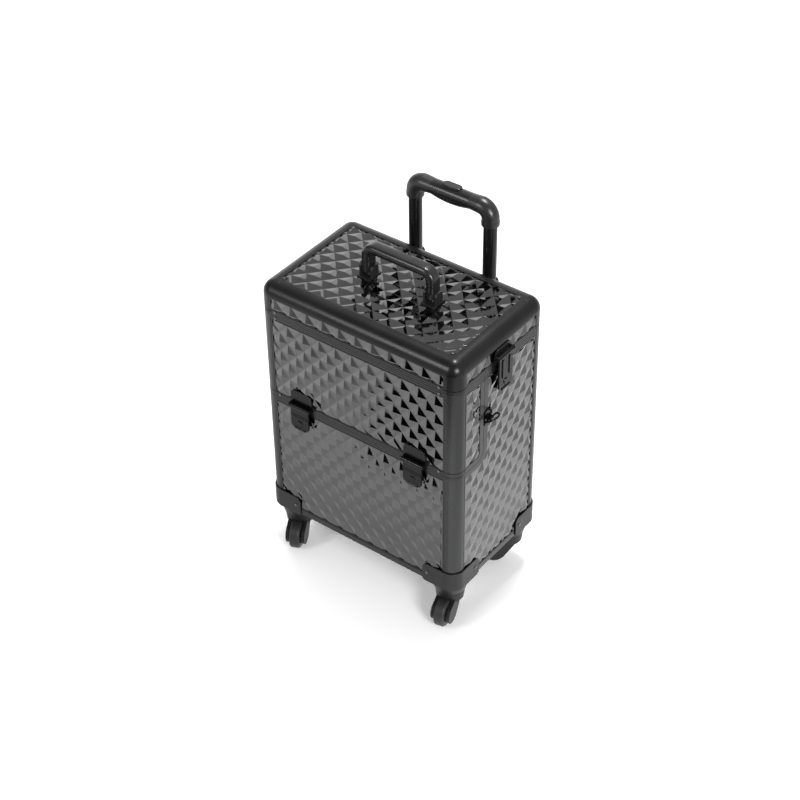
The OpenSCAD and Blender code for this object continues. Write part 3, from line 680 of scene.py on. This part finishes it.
@dataclass
class QuiltedSheet:
    """A pressed sheet of four-sided pyramids on a diamond lattice, cut to one panel.

    The sheet is drawn flat, u to the right and v up, and is then turned to its face. Lengths
    are in millimetres: depth is where the tips of the pyramids come to lie, centre where one
    of them does, rise is their height and ridge the width of their broken edges. Margin and
    clamp say how far in and how deep the rail presses the sheet. A notched sheet tucks under
    the rail round the notch. Edges blunter than crease, in degrees, look smooth.
    """

    name: str
    node: str
    face: Face
    low: tuple[float, float]
    high: tuple[float, float]
    depth: float
    centre: tuple[float, float] = (0.0, 0.0)
    notch: Optional[tuple[float, float]] = None
    rise: float = 2.6
    thickness: float = 3.0
    margin: float = 2.5
    clamp: float = -1.6
    tuck: float = 8.0
    ridge: float = 0.45
    crease: float = 6.0
    weld: float = 0.004

    def lattice(self) -> bpy.types.Object:
        """Makes the whole lattice, wider than the panel.

        Returns:
            The lattice sheet, with its points in millimetres.
        """
        width = self.high[0] - self.low[0]
        height = self.high[1] - self.low[1]
        cells = math.ceil((width / 2 + LATTICE_U) / (LATTICE_U / 2)
                          + (height / 2 + LATTICE_V) / (LATTICE_V / 2))
        cells += cells % 2
        bpy.ops.object.select_all(action="DESELECT")
        bpy.ops.mesh.primitive_grid_add(x_subdivisions=cells, y_subdivisions=cells, size=cells)
        obj = bpy.context.active_object
        obj.name = self.name
        obj.data.name = self.name
        edit(obj)
        bpy.ops.transform.rotate(value=math.radians(45), orient_axis="Z",
                                 center_override=(0, 0, 0))
        root = math.sqrt(0.5)
        bpy.ops.transform.resize(value=(LATTICE_U / 2 / root, LATTICE_V / 2 / root, 1),
                                 center_override=(0, 0, 0))
        bpy.ops.mesh.poke(offset=self.rise, use_relative_offset=False, center_mode="MEDIAN")
        bpy.ops.mesh.select_all(action="SELECT")
        bpy.ops.mesh.bevel(offset=self.ridge, segments=2, affect="EDGES", profile=0.6)
        bpy.ops.mesh.select_all(action="SELECT")
        middle = ((self.low[0] + self.high[0]) / 2, (self.low[1] + self.high[1]) / 2)
        shift_u = (self.centre[0] - LATTICE_U / 2 - middle[0]) % LATTICE_U
        shift_v = (self.centre[1] - middle[1]) % LATTICE_V
        bpy.ops.transform.translate(value=(middle[0] + shift_u - LATTICE_U,
                                           middle[1] + shift_v - LATTICE_V, -self.rise))
        done()
        return obj

    def notch_side(self) -> int:
        """Says which side the notch is on: 1 for the right and -1 for the left."""
        return 1 if self.notch[0] > (self.low[0] + self.high[0]) / 2 else -1

    def cut(self, obj: bpy.types.Object) -> None:
        """Trims the lattice to the panel's outline.

        Args:
            obj: The lattice sheet.
        """
        edit(obj)
        for point, normal in (
            ((self.low[0], 0, 0), (-1, 0, 0)), ((self.high[0], 0, 0), (1, 0, 0)),
            ((0, self.low[1], 0), (0, -1, 0)), ((0, self.high[1], 0), (0, 1, 0)),
        ):
            bpy.ops.mesh.select_all(action="SELECT")
            bpy.ops.mesh.bisect(plane_co=point, plane_no=normal, clear_outer=True)
        if self.notch:
            side = self.notch_side()
            u, v = self.notch[0] + side * self.tuck, self.notch[1] + self.tuck
            for point, normal in (((u, 0, 0), (1, 0, 0)), ((0, v, 0), (0, 1, 0))):
                bpy.ops.mesh.select_all(action="SELECT")
                bpy.ops.mesh.bisect(plane_co=point, plane_no=normal)
            choose_faces(obj, lambda f: (f.calc_center_median().x - u) * side > 0
                         and f.calc_center_median().y > v)
            bpy.ops.mesh.delete(type="FACE")
        bpy.ops.mesh.select_mode(type="VERT")
        bpy.ops.mesh.select_all(action="SELECT")
        bpy.ops.mesh.remove_doubles(threshold=self.weld)
        done()

    def press_edge(self, obj: bpy.types.Object) -> None:
        """Flattens the relief along the edge, where the rail clamps the sheet.

        Args:
            obj: The trimmed sheet.
        """
        edit(obj)
        near = 0.01
        inner = [(self.low[i] + self.margin, self.high[i] - self.margin) for i in (0, 1)]
        lines = [list(inner[0]), list(inner[1])]
        if self.notch:
            side = self.notch_side()
            corner = (self.notch[0] - side * self.margin, self.notch[1] - self.margin)
            for axis in (0, 1):
                lines[axis].append(corner[axis])
        for axis in (0, 1):
            for place in lines[axis]:
                point, normal = [0.0, 0.0, 0.0], [0.0, 0.0, 0.0]
                point[axis], normal[axis] = place, 1.0
                bpy.ops.mesh.select_all(action="SELECT")
                bpy.ops.mesh.bisect(plane_co=point, plane_no=normal)
        bpy.ops.mesh.select_all(action="SELECT")
        bpy.ops.mesh.bisect(plane_co=(0, 0, self.clamp), plane_no=(0, 0, 1))
        bpy.ops.mesh.select_mode(type="VERT")
        bpy.ops.mesh.select_all(action="DESELECT")
        bm = bmesh.from_edit_mesh(obj.data)
        for vert in bm.verts:
            outside = any(not inner[i][0] + near < vert.co[i] < inner[i][1] - near
                          for i in (0, 1))
            if self.notch and (vert.co.x - corner[0]) * side > -near:
                outside = outside or vert.co.y > corner[1] - near
            vert.select_set(outside and vert.co.z > self.clamp)
        bm.select_flush_mode()
        bmesh.update_edit_mesh(obj.data)
        bpy.ops.transform.resize(value=(1, 1, 0), center_override=(0, 0, self.clamp))
        done()

    def back(self, obj: bpy.types.Object) -> None:
        """Gives the trimmed sheet its edge and its flat back.

        Args:
            obj: The trimmed sheet.
        """
        edit(obj, everything=False)
        bpy.ops.mesh.select_mode(type="EDGE")
        bpy.ops.mesh.select_non_manifold(extend=False, use_wire=False, use_multi_face=False,
                                         use_non_contiguous=False, use_verts=False)
        bpy.ops.mesh.extrude_edges_move(
            TRANSFORM_OT_translate={"value": (0, 0, -self.thickness)})
        bpy.ops.transform.resize(value=(1, 1, 0),
                                 center_override=(0, 0, -self.rise - self.thickness))
        bpy.ops.mesh.edge_face_add()
        done()

    def build(self, shop: Workshop) -> bpy.types.Object:
        """Makes, turns and dresses the sheet.

        Args:
            shop: The workshop.

        Returns:
            The finished panel.
        """
        obj = self.lattice()
        self.cut(obj)
        self.press_edge(obj)
        self.back(obj)
        lift = Matrix.Translation((0, 0, self.depth))
        scale = Matrix.Diagonal((MM, MM, MM, 1))
        obj.matrix_world = Matrix.Translation(shop.at(0, 0, 0)) @ self.face.value @ scale @ lift
        settle(obj)
        smooth(obj, self.crease)
        shop.finish(obj, Slot.PANEL, shop.body_of[self.node], self.node)
        self.line(obj, shop)
        return obj

    def line(self, obj: bpy.types.Object, shop: Workshop) -> None:
        """Lines the flat back, which shows when the case is open.

        Args:
            obj: The finished panel.
            shop: The workshop.
        """
        obj.data.materials.append(shop.materials[Slot.LINING])
        outward = self.face.value.to_3x3() @ Vector((0, 0, 1))
        for face in obj.data.polygons:
            if face.normal.dot(outward) < -0.5:
                face.material_index = 1


# Where the sheets end under their rails, from the case's middle or up from its underside
EDGE_X = 155.7
EDGE_Y = 85.7
CHEEK_EDGE = 52.3
NOTCH_EDGE = 31.7
SHEET_FOOT = 13.3
BELOW_SEAM = 213.7
ABOVE_SEAM = 234.3
SHEET_TOP = 368.7
BAND_LOW = 389.3
BAND_HIGH = 408.7


def quilted_sheets() -> list[QuiltedSheet]:
    """Lists the case's quilted panels.

    Returns:
        The sheets, each in millimetres on its own face.
    """
    # Name, node, face, lower left and upper right corner, depth, centre and notch
    return [
        QuiltedSheet("front_lower_sheet", "front_lower_panel", Face.FRONT,
                     (-EDGE_X, SHEET_FOOT), (EDGE_X, BELOW_SEAM), FRONT_SHEET, (18, 196)),
        QuiltedSheet("section_sheet", "section_panel", Face.FRONT,
                     (-EDGE_X, ABOVE_SEAM), (EDGE_X, SHEET_TOP), FRONT_SHEET, (82, 318)),
        QuiltedSheet("right_side_sheet", "right_side_panel", Face.RIGHT,
                     (-EDGE_Y, SHEET_FOOT), (EDGE_Y, SHEET_TOP), SIDE_SHEET, (19, 168),
                     (-NOTCH_EDGE, BELOW_SEAM)),
        QuiltedSheet("left_side_sheet", "left_side_panel", Face.LEFT,
                     (-EDGE_Y, SHEET_FOOT), (EDGE_Y, SHEET_TOP), SIDE_SHEET, (-19, 168),
                     (NOTCH_EDGE, BELOW_SEAM)),
        QuiltedSheet("right_cheek_sheet", "right_cheek", Face.RIGHT,
                     (-EDGE_Y, ABOVE_SEAM), (-CHEEK_EDGE, SHEET_TOP), SIDE_SHEET, (-56, 300)),
        QuiltedSheet("left_cheek_sheet", "left_cheek", Face.LEFT,
                     (CHEEK_EDGE, ABOVE_SEAM), (EDGE_Y, SHEET_TOP), SIDE_SHEET, (56, 300)),
        QuiltedSheet("rear_sheet", "rear_panel", Face.REAR,
                     (-EDGE_X, SHEET_FOOT), (EDGE_X, SHEET_TOP), FRONT_SHEET, (0, 200)),
        QuiltedSheet("lid_sheet", "lid_panel", Face.TOP,
                     (-EDGE_X, -EDGE_Y), (EDGE_X, EDGE_Y), LID_SHEET, (0, -18)),
    ]


def lid_bands() -> list[QuiltedSheet]:
    """Lists the four narrow quilted strips round the lid.

    Returns:
        The strips, each in millimetres on its own face.
    """
    return [
        QuiltedSheet(name, "lid_bands", face, (-half, BAND_LOW), (half, BAND_HIGH), depth,
                     (0, 392))
        for name, face, half, depth in (
            ("band_front", Face.FRONT, EDGE_X, FRONT_SHEET),
            ("band_rear", Face.REAR, EDGE_X, FRONT_SHEET),
            ("band_right", Face.RIGHT, EDGE_Y, SIDE_SHEET),
            ("band_left", Face.LEFT, EDGE_Y, SIDE_SHEET),
        )
    ]


# The channels of the front levers and of the two top rails
LEVER_LINES = (Groove(2, 209.4, 210.4, depth=0.8), Groove(2, 213.0, 214.0, depth=0.8))
TOP_LINES = (Groove(2, 370.6, 371.6), Groove(2, 375.2, 375.9, depth=0.4))
# The stretches of the two seam rails along the front
BODY_SEAM = ((-156, -120, 200), (156, 0, 230))
SECTION_SEAM = ((-156, -120, 220), (156, 0, 240))


def post_grooves(side: int) -> tuple[Groove, ...]:
    """The channels beside both edges of a pair of posts.

    Args:
        side: -1 for the front posts and 1 for the rear ones.

    Returns:
        The grooves, in millimetres.
    """
    region = ((-190.0, -120.0, 14.0), (190.0, 120.0, 378.0))
    places = ((0, -159.2, -158.2), (0, 158.2, 159.2), (1, *sorted((side * 88.2, side * 89.2))))
    return tuple(Groove(axis, start, end, *region, depth=0.5) for axis, start, end in places)


def softened_pieces() -> list[Softened]:
    """Lists the CAD pieces that keep their shape and get rounded edges.

    Returns:
        The pieces, in the order in which they are built.
    """
    # Name, nodes, slot, then the width of the broken edges and their segments
    return [
        Grooved("bottom_rail", ("bottom_frame",), Slot.FRAME, 0.4,
                grooves=(Groove(2, 10.6, 11.6),)),
        Softened("base_board", ("bottom_board",), Slot.BOARD, 0.5),
        Grooved("front_posts_low", ("front_lower_posts",), Slot.POST, 0.3,
                grooves=post_grooves(-1)),
        Grooved("posts_rear", ("rear_posts",), Slot.POST, 0.3, grooves=post_grooves(1)),
        Grooved("seam_rail_low", ("body_rail",), Slot.FRAME, 0.4,
                grooves=(Groove(2, 215.6, 216.6, *BODY_SEAM),
                         Groove(2, 220.2, 220.9, *BODY_SEAM, 0.4))),
        Grooved("seam_rail_top", ("body_top_rail",), Slot.FRAME, 0.4, grooves=TOP_LINES),
        Softened("guards", ("corner_guards",), Slot.GUARD, 0.8, 3),
        Softened("tubes_outer", ("outer_tubes",), Slot.TUBE, 0.3),
        Softened("clamps", ("tube_brackets",), Slot.GUARD, 0.6),
        Softened("hinge_case_side", ("case_hinge_leaves",), Slot.HINGE, 0.25),
        Softened("runners_fixed", ("case_runners",), Slot.RUNNER, 0.3),
        Softened("catches_front", ("front_catches",), Slot.LATCH, 0.4),
        Softened("catch_side", ("side_catch",), Slot.LATCH, 0.4),
        Softened("ring_mounts", ("ring_plates",), Slot.LATCH, 0.4),
        Softened("rivets_case", ("case_rivets",), Slot.RIVET, 0.4),
        Softened("lid_edge", ("lid_frame",), Slot.BULLNOSE, 0.3),
        Grooved("lid_caps", ("lid_corners",), Slot.BULLNOSE, 0.3,
                grooves=(Groove(2, 384.4, 385.4, depth=0.9),)),
        Grooved("lid_rim", ("lid_rail",), Slot.FRAME, 0.7,
                grooves=(Groove(2, 386.6, 387.6), Groove(2, 382.8, 383.5, depth=0.4))),
        Softened("hinge_lid_side", ("lid_hinge_leaves",), Slot.HINGE, 0.25),
        Softened("pins", ("hinge_pins",), Slot.RIVET, 0.3),
        Softened("handle_feet", ("handle_brackets",), Slot.GUARD, 0.8, 3),
        Softened("latch_plate_side", ("side_latch_plate",), Slot.SIDE_LATCH, 0.35),
        Softened("rivets_lid", ("lid_rivets",), Slot.RIVET, 0.4),
        RoundedHandle("handle", ("carry_handle",), Slot.GRIP),
        Softened("lever_side", ("side_lever",), Slot.SIDE_LATCH, 0.4),
        Grooved("section_corner_posts", ("section_posts",), Slot.POST, 0.3,
                grooves=post_grooves(-1) + (Groove(2, 232.4, 233.4, depth=0.8),)),
        Grooved("section_low_rail", ("section_rail",), Slot.FRAME, 0.4,
                grooves=(Groove(2, 231.6, 232.6, *SECTION_SEAM),
                         Groove(2, 227.6, 228.3, *SECTION_SEAM, 0.4))),
        Grooved("section_high_rail", ("section_top_rail",), Slot.FRAME, 0.4,
                grooves=TOP_LINES),
        Softened("tray_low", ("lower_tray",), Slot.TRAY, 0.8, 3),
        Softened("runners_moving", ("tray_runners",), Slot.RUNNER, 0.3),
        Softened("latch_plates_front", ("front_latch_plates",), Slot.LATCH, 0.35),
        Softened("rivets_section", ("section_rivets",), Slot.RIVET, 0.4),
        Grooved("lever_left", ("left_lever",), Slot.LATCH, 0.4, grooves=LEVER_LINES),
        Grooved("lever_right", ("right_lever",), Slot.LATCH, 0.4, grooves=LEVER_LINES),
        Softened("tray_high", ("upper_tray",), Slot.TRAY, 0.8, 3),
        Softened("ring_left", ("left_strap_ring",), Slot.LATCH, 0.2),
        Softened("ring_right", ("right_strap_ring",), Slot.LATCH, 0.2),
        Softened("tubes_middle", ("middle_tubes",), Slot.TUBE, 0.3),
        Softened("tubes_inner", ("inner_tubes",), Slot.TUBE, 0.3),
        Softened("elbows", ("grip_elbows",), Slot.ELBOW, 0.7, 3),
        Softened("grip_middle", ("grip_shell",), Slot.GRIP, 0.7, 3),
        Softened("push_button", ("grip_button",), Slot.GRIP, 0.8, 3),
        *(Softened(f"caster_fork_{c}", (f"fork_{c}",), Slot.FORK, 2.0, 4)
          for c in ("fl", "fr", "rl", "rr")),
        *(Softened(f"caster_wheel_{c}", (f"wheel_{c}",), Slot.WHEEL, 0.4)
          for c in ("fl", "fr", "rl", "rr")),
    ]


@dataclass(frozen=True)
class Lamp:
    """One soft lamp that faces the case, in metres and watts.

    A lamp that isn't mirrored lights the case but doesn't show in its glossy faces.
    """

    name: str
    place: tuple[float, float, float]
    size: float
    watts: float
    mirrored: bool = True

    def build(self) -> None:
        """Hangs the lamp and turns it to the case."""
        data = bpy.data.lights.new(self.name, "AREA")
        data.shape = "RECTANGLE"
        data.size = data.size_y = self.size
        data.energy = self.watts
        lamp = bpy.data.objects.new(self.name, data)
        lamp.visible_glossy = self.mirrored
        bpy.context.scene.collection.objects.link(lamp)
        lamp.location = self.place
        aim = CASE_MIDDLE - Vector(self.place)
        lamp.rotation_euler = aim.to_track_quat("-Z", "Y").to_euler()


def glowing(name: str, strength: float) -> bpy.types.Material:
    """Makes a plain white glow for a card or wall of the studio.

    Args:
        name: The material's name.
        strength: How bright it looks.

    Returns:
        The material.
    """
    material = node_material(name)
    nodes, links = material.node_tree.nodes, material.node_tree.links
    shade = plain_white(nodes, "ShaderNodeEmission", strength)
    links.new(shade.outputs["Emission"], nodes["Material Output"].inputs["Surface"])
    return material


def only_mirrored(obj: bpy.types.Object) -> None:
    """Hides a studio piece from all but mirrored rays."""
    obj.visible_camera = False
    obj.visible_diffuse = False
    obj.visible_shadow = False


@dataclass
class Studio:
    """Floor, lights and camera, in metres and degrees.

    The floor ramps are the levels that mirrored rays find along an axis: its name, where the
    ramp starts and ends, and the levels there. The levels of all ramps add up. The card's
    corners go from left to right, the front ones first. The eye is in the case's own
    millimetres, and the focal length in widths of the picture.
    """

    shop: Workshop
    floor_grey: tuple[float, float, float, float] = (0.92, 0.92, 0.92, 1)
    floor_lift: float = 0.15
    far_lift: float = 0.75
    room: float = 0.5
    mirrored_room: tuple[float, float] = (0.17, 0.58)
    room_turn: tuple[float, float] = (-0.25, 0.35)
    wall_glow: float = 1.6
    floor_ramps: tuple[tuple[str, float, float, float, float], ...] = (
        ("Y", -1.1, -0.55, 0.42, 1.25),
        ("Y", -0.5, -0.3, 0.0, -0.38),
        ("X", -0.62, -0.42, 0.3, 0.0),
        ("X", 0.12, 0.2, 0.0, 0.63),
        ("X", 0.4, 0.62, 0.0, -0.55),
    )
    far_floor: tuple[float, float] = (0.8, 2.4)
    card_corners: tuple[tuple[float, float], ...] = (
        (-0.62, -3.6), (2.2, -3.6), (-0.15, -0.59), (2.2, -0.59))
    card_glow: float = 0.01
    wall_place: tuple[float, float, float] = (-3.7, 3.0, 1.35)
    wall_size: tuple[float, float] = (4.8, 2.7)
    lamps: tuple[Lamp, ...] = (
        Lamp("key", (-1.0, 0.8, 2.7), 1.8, 34, mirrored=False),
        Lamp("lamp_above", (-0.03, 0.64, 2.57), 0.5, 42),
        Lamp("lamp_left", (-0.8, -1.9, 1.35), 0.7, 16),
        Lamp("lamp_right", (2.0, -1.05, 1.4), 0.7, 40),
    )
    azimuth: float = 37.47
    elevation: float = 39.06
    roll: float = -0.78
    eye: tuple[float, float, float] = (1349.2, -1765.5, 2022.3)
    focal: float = 1879.2 / 800

    def mirrored_level(self, tree: bpy.types.NodeTree,
                       where: bpy.types.NodeSocket) -> bpy.types.NodeSocket:
        """Adds up the floor's ramps.

        Args:
            tree: The floor's node tree.
            where: The place on the floor.

        Returns:
            The level that mirrored rays find there.
        """
        part = tree.nodes.new("ShaderNodeSeparateXYZ")
        tree.links.new(where, part.inputs["Vector"])
        total = None
        for axis, start, end, low, high in self.floor_ramps:
            ramp = ranged(tree.nodes, (start, end), (low, high))
            ramp.interpolation_type = "SMOOTHSTEP"
            tree.links.new(part.outputs[axis], ramp.inputs["Value"])
            level = ramp.outputs["Result"]
            if total is not None:
                add = tree.nodes.new("ShaderNodeMath")
                tree.links.new(total, add.inputs[0])
                tree.links.new(level, add.inputs[1])
                level = add.outputs["Value"]
            total = level
        return total

    def floor(self) -> None:
        """Lays a pale floor that looks white and keeps the case's shadow."""
        floor = new_plane("floor", 16)
        material = node_material("floor_paper")
        tree = material.node_tree
        nodes, links = tree.nodes, tree.links
        paper = nodes["Principled BSDF"]
        paper.inputs["Base Color"].default_value = self.floor_grey
        paper.inputs["Roughness"].default_value = 0.8
        paper.inputs["Specular IOR Level"].default_value = 0.0
        where = nodes.new("ShaderNodeTexCoord").outputs["Object"]

        reach = nodes.new("ShaderNodeVectorMath")
        reach.operation = "LENGTH"
        links.new(where, reach.inputs[0])
        lift = ranged(nodes, self.far_floor, (self.floor_lift, self.far_lift))
        links.new(reach.outputs["Value"], lift.inputs["Value"])
        glow = plain_white(nodes, "ShaderNodeEmission")
        links.new(lift.outputs["Result"], glow.inputs["Strength"])
        both = nodes.new("ShaderNodeAddShader")
        links.new(paper.outputs["BSDF"], both.inputs[0])
        links.new(glow.outputs["Emission"], both.inputs[1])

        mirrored = plain_white(nodes, "ShaderNodeEmission")
        links.new(self.mirrored_level(tree, where), mirrored.inputs["Strength"])
        path = nodes.new("ShaderNodeLightPath")
        direct = mixed(tree, path.outputs["Is Camera Ray"], paper.outputs["BSDF"],
                       both.outputs["Shader"])
        shown = mixed(tree, path.outputs["Is Glossy Ray"], direct, mirrored.outputs["Emission"])
        links.new(shown, nodes["Material Output"].inputs["Surface"])
        floor.data.materials.append(material)

    def dark_card(self) -> None:
        """Lays a dark card on the floor, before the case and to the right.

        The upper right facets of the front sheets mirror it, as they do in the photograph.
        """
        card = new_plane("dark_card", 2, (0, 0, 0.004))
        bm = edit(card, everything=False)
        corners = sorted(bm.verts, key=lambda vert: (vert.co.y, vert.co.x))
        for vert, corner in zip(corners, self.card_corners):
            bpy.ops.mesh.select_all(action="DESELECT")
            vert.select_set(True)
            bm.select_flush_mode()
            bpy.ops.transform.translate(value=(corner[0] - vert.co.x, corner[1] - vert.co.y, 0))
        done()
        card.data.materials.append(glowing("dark_card", self.card_glow))
        only_mirrored(card)

    def backdrop(self) -> None:
        """Stands a pale wall behind and to the left, which only mirrored rays see."""
        wall = new_plane("backdrop", 1, self.wall_place, (math.pi / 2, 0, 0))
        wall.scale = (*self.wall_size, 1)
        wall.data.materials.append(glowing("backdrop_white", self.wall_glow))
        only_mirrored(wall)

    def light(self) -> None:
        """Sets the world and hangs the lamps.

        The world is white to the camera and pale at the sides. Mirrored rays find it dim, so
        that the rails show the lamps against a dark room.
        """
        world = bpy.data.worlds.new("studio")
        bpy.context.scene.world = world
        world.use_nodes = True
        tree = world.node_tree
        nodes, links = tree.nodes, tree.links
        pale = nodes["Background"]
        pale.inputs["Color"].default_value = WHITE
        bright = plain_white(nodes, "ShaderNodeBackground")
        way = nodes.new("ShaderNodeTexCoord")
        part = nodes.new("ShaderNodeSeparateXYZ")
        links.new(way.outputs["Generated"], part.inputs["Vector"])
        dim = ranged(nodes, self.room_turn, self.mirrored_room)
        links.new(part.outputs["Y"], dim.inputs["Value"])
        path = nodes.new("ShaderNodeLightPath")
        level = ranged(nodes, (0, 1), (self.room, self.room))
        links.new(dim.outputs["Result"], level.inputs["To Max"])
        links.new(path.outputs["Is Glossy Ray"], level.inputs["Value"])
        links.new(level.outputs["Result"], pale.inputs["Strength"])
        shown = mixed(tree, path.outputs["Is Camera Ray"], pale.outputs["Background"],
                      bright.outputs["Background"])
        links.new(shown, nodes["World Output"].inputs["Surface"])
        for lamp in self.lamps:
            lamp.build()

    def camera(self) -> None:
        """Puts the camera where the photograph was taken from."""
        azimuth, elevation, roll = (
            math.radians(value) for value in (self.azimuth, self.elevation, self.roll))
        data = bpy.data.cameras.new("view")
        data.sensor_width = 36.0
        data.sensor_fit = "HORIZONTAL"
        data.lens = self.focal * data.sensor_width
        data.clip_start = 0.05
        camera = bpy.data.objects.new("view", data)
        bpy.context.scene.collection.objects.link(camera)
        outward = Vector((math.sin(azimuth) * math.cos(elevation),
                          -math.cos(azimuth) * math.cos(elevation), math.sin(elevation)))
        right = Vector((math.cos(azimuth), math.sin(azimuth), 0))
        up = outward.cross(right)
        turned_right = right * math.cos(roll) + up * math.sin(roll)
        turned_up = outward.cross(turned_right)
        basis = Matrix((turned_right, turned_up, outward)).transposed().to_4x4()
        camera.matrix_world = Matrix.Translation(self.shop.at(*self.eye)) @ basis
        bpy.context.scene.camera = camera

    def build(self) -> None:
        """Sets the whole scene round the case."""
        self.floor()
        self.dark_card()
        self.backdrop()
        self.light()
        self.camera()
        bpy.context.scene.view_settings.view_transform = "Standard"


def main() -> None:
    """Builds the studio and every piece."""
    logging.basicConfig(level=logging.INFO, format="%(name)s %(message)s")
    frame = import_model()
    bpy.ops.object.select_all(action="DESELECT")
    shop = Workshop.from_frame(frame)
    Studio(shop).build()
    for piece in softened_pieces():
        piece.build(shop)
    for sheet in quilted_sheets() + lid_bands():
        sheet.build(shop)


if __name__ == "__main__":
    main()
